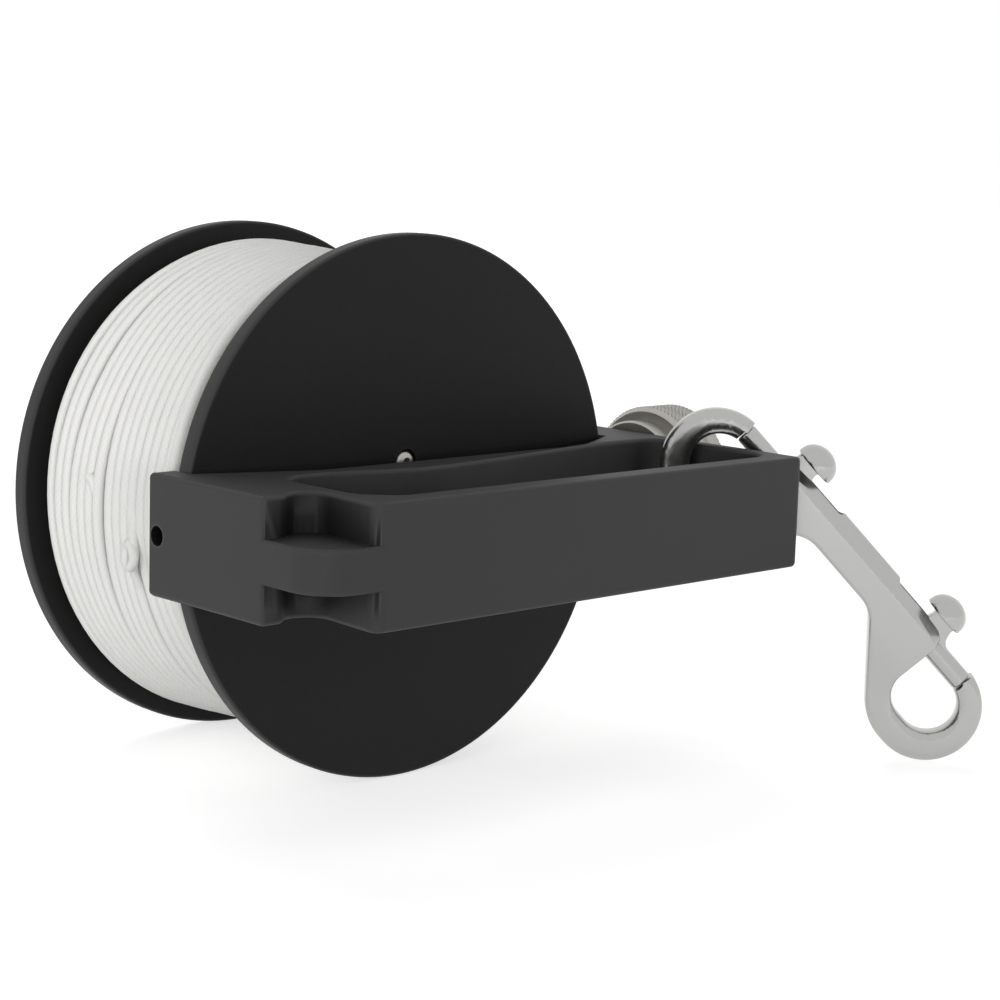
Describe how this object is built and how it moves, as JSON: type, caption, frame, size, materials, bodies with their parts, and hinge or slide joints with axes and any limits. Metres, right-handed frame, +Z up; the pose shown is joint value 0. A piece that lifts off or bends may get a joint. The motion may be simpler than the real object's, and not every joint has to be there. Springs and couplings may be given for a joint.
{
  "type": "dive reel",
  "caption": "Dive reel with a slotted machined handle, a spool of white line on an axle, a knurled lock knob and a double-ended bolt snap clipped through the handle's end.",
  "frame": {"origin": "on the flat front face of the handle, where the axle's line meets it, at half the handle's height", "axes": "+X along the handle to the lock knob, +Y back along the axle to the spool, +Z up"},
  "size_m": [0.1787, 0.1732, 0.12],
  "materials": {
    "handle_black": "matt machined black",
    "flange_black": "fine matt black",
    "steel": "turned and knurled stainless steel",
    "snap_steel": "polished stainless steel",
    "line_white": "braided white line",
    "pale_plastic": "plain pale bearing plastic"
  },
  "bodies": {
    "handle": {"frame": "handle_black", "axle_screw": "steel", "thrust_collar": "pale_plastic", "rear_washer": "steel", "axle_nut": "steel"},
    "spool": {"flange_front": "flange_black", "flange_rear": "flange_black", "hub": "handle_black", "bush_front": "pale_plastic", "bush_rear": "pale_plastic", "front_flange_screw_1": "steel", "front_flange_screw_2": "steel", "front_flange_screw_3": "steel", "front_flange_screw_4": "steel", "rear_flange_screw_1": "steel", "rear_flange_screw_2": "steel", "rear_flange_screw_3": "steel", "rear_flange_screw_4": "steel", "line_core": "line_white", "line_turns": "line_white", "winding_spindle": "steel"},
    "winding_grip": {"winding_knob": "handle_black"},
    "pad": {"lock_pad": "pale_plastic"},
    "lock": {"lock_knob": "steel", "lock_screw": "steel"},
    "snap": {"snap_body": "snap_steel"},
    "bolt_upper": {"snap_bolt_upper": "snap_steel", "snap_stud_upper": "snap_steel"},
    "bolt_lower": {"snap_bolt_lower": "snap_steel", "snap_stud_lower": "snap_steel"}
  },
  "joints": [
    {"name": "spool_turn", "type": "hinge", "parent": "handle", "child": "spool", "pos_m": [0, 0.0832, 0], "axis": [0, 1, 0], "continuous": true},
    {"name": "winding_grip_turn", "type": "hinge", "parent": "spool", "child": "winding_grip", "pos_m": [0.03526, 0.1334, -0.01667], "axis": [0, 1, 0], "continuous": true},
    {"name": "lock_slide", "type": "slide", "parent": "handle", "child": "pad", "axis": [1, 0, 0], "range_m": [0, 0.0025]},
    {"name": "lock_turn", "type": "hinge", "parent": "pad", "child": "lock", "pos_m": [0.0812, 0.05295, 0], "axis": [1, 0, 0], "range_deg": [0, 900]},
    {"name": "snap_swing", "type": "hinge", "parent": "handle", "child": "snap", "pos_m": [0.0701, 0.0242, 0.0083], "axis": [-0.7547, -0.6561, 0], "range_deg": [-12, 50]},
    {"name": "bolt_upper_slide", "type": "slide", "parent": "snap", "child": "bolt_upper", "axis": [0.4483, -0.5157, -0.7302], "range_m": [0, 0.0092], "stiffness_N_per_m": 300, "springref_m": -0.01},
    {"name": "bolt_lower_slide", "type": "slide", "parent": "snap", "child": "bolt_lower", "axis": [-0.4483, 0.5157, 0.7302], "range_m": [0, 0.0092], "stiffness_N_per_m": 300, "springref_m": -0.01}
  ],
  "couplings": [
    {"joint": "lock_turn", "follows": "lock_slide", "rad_per_m": 6283}
  ]
}
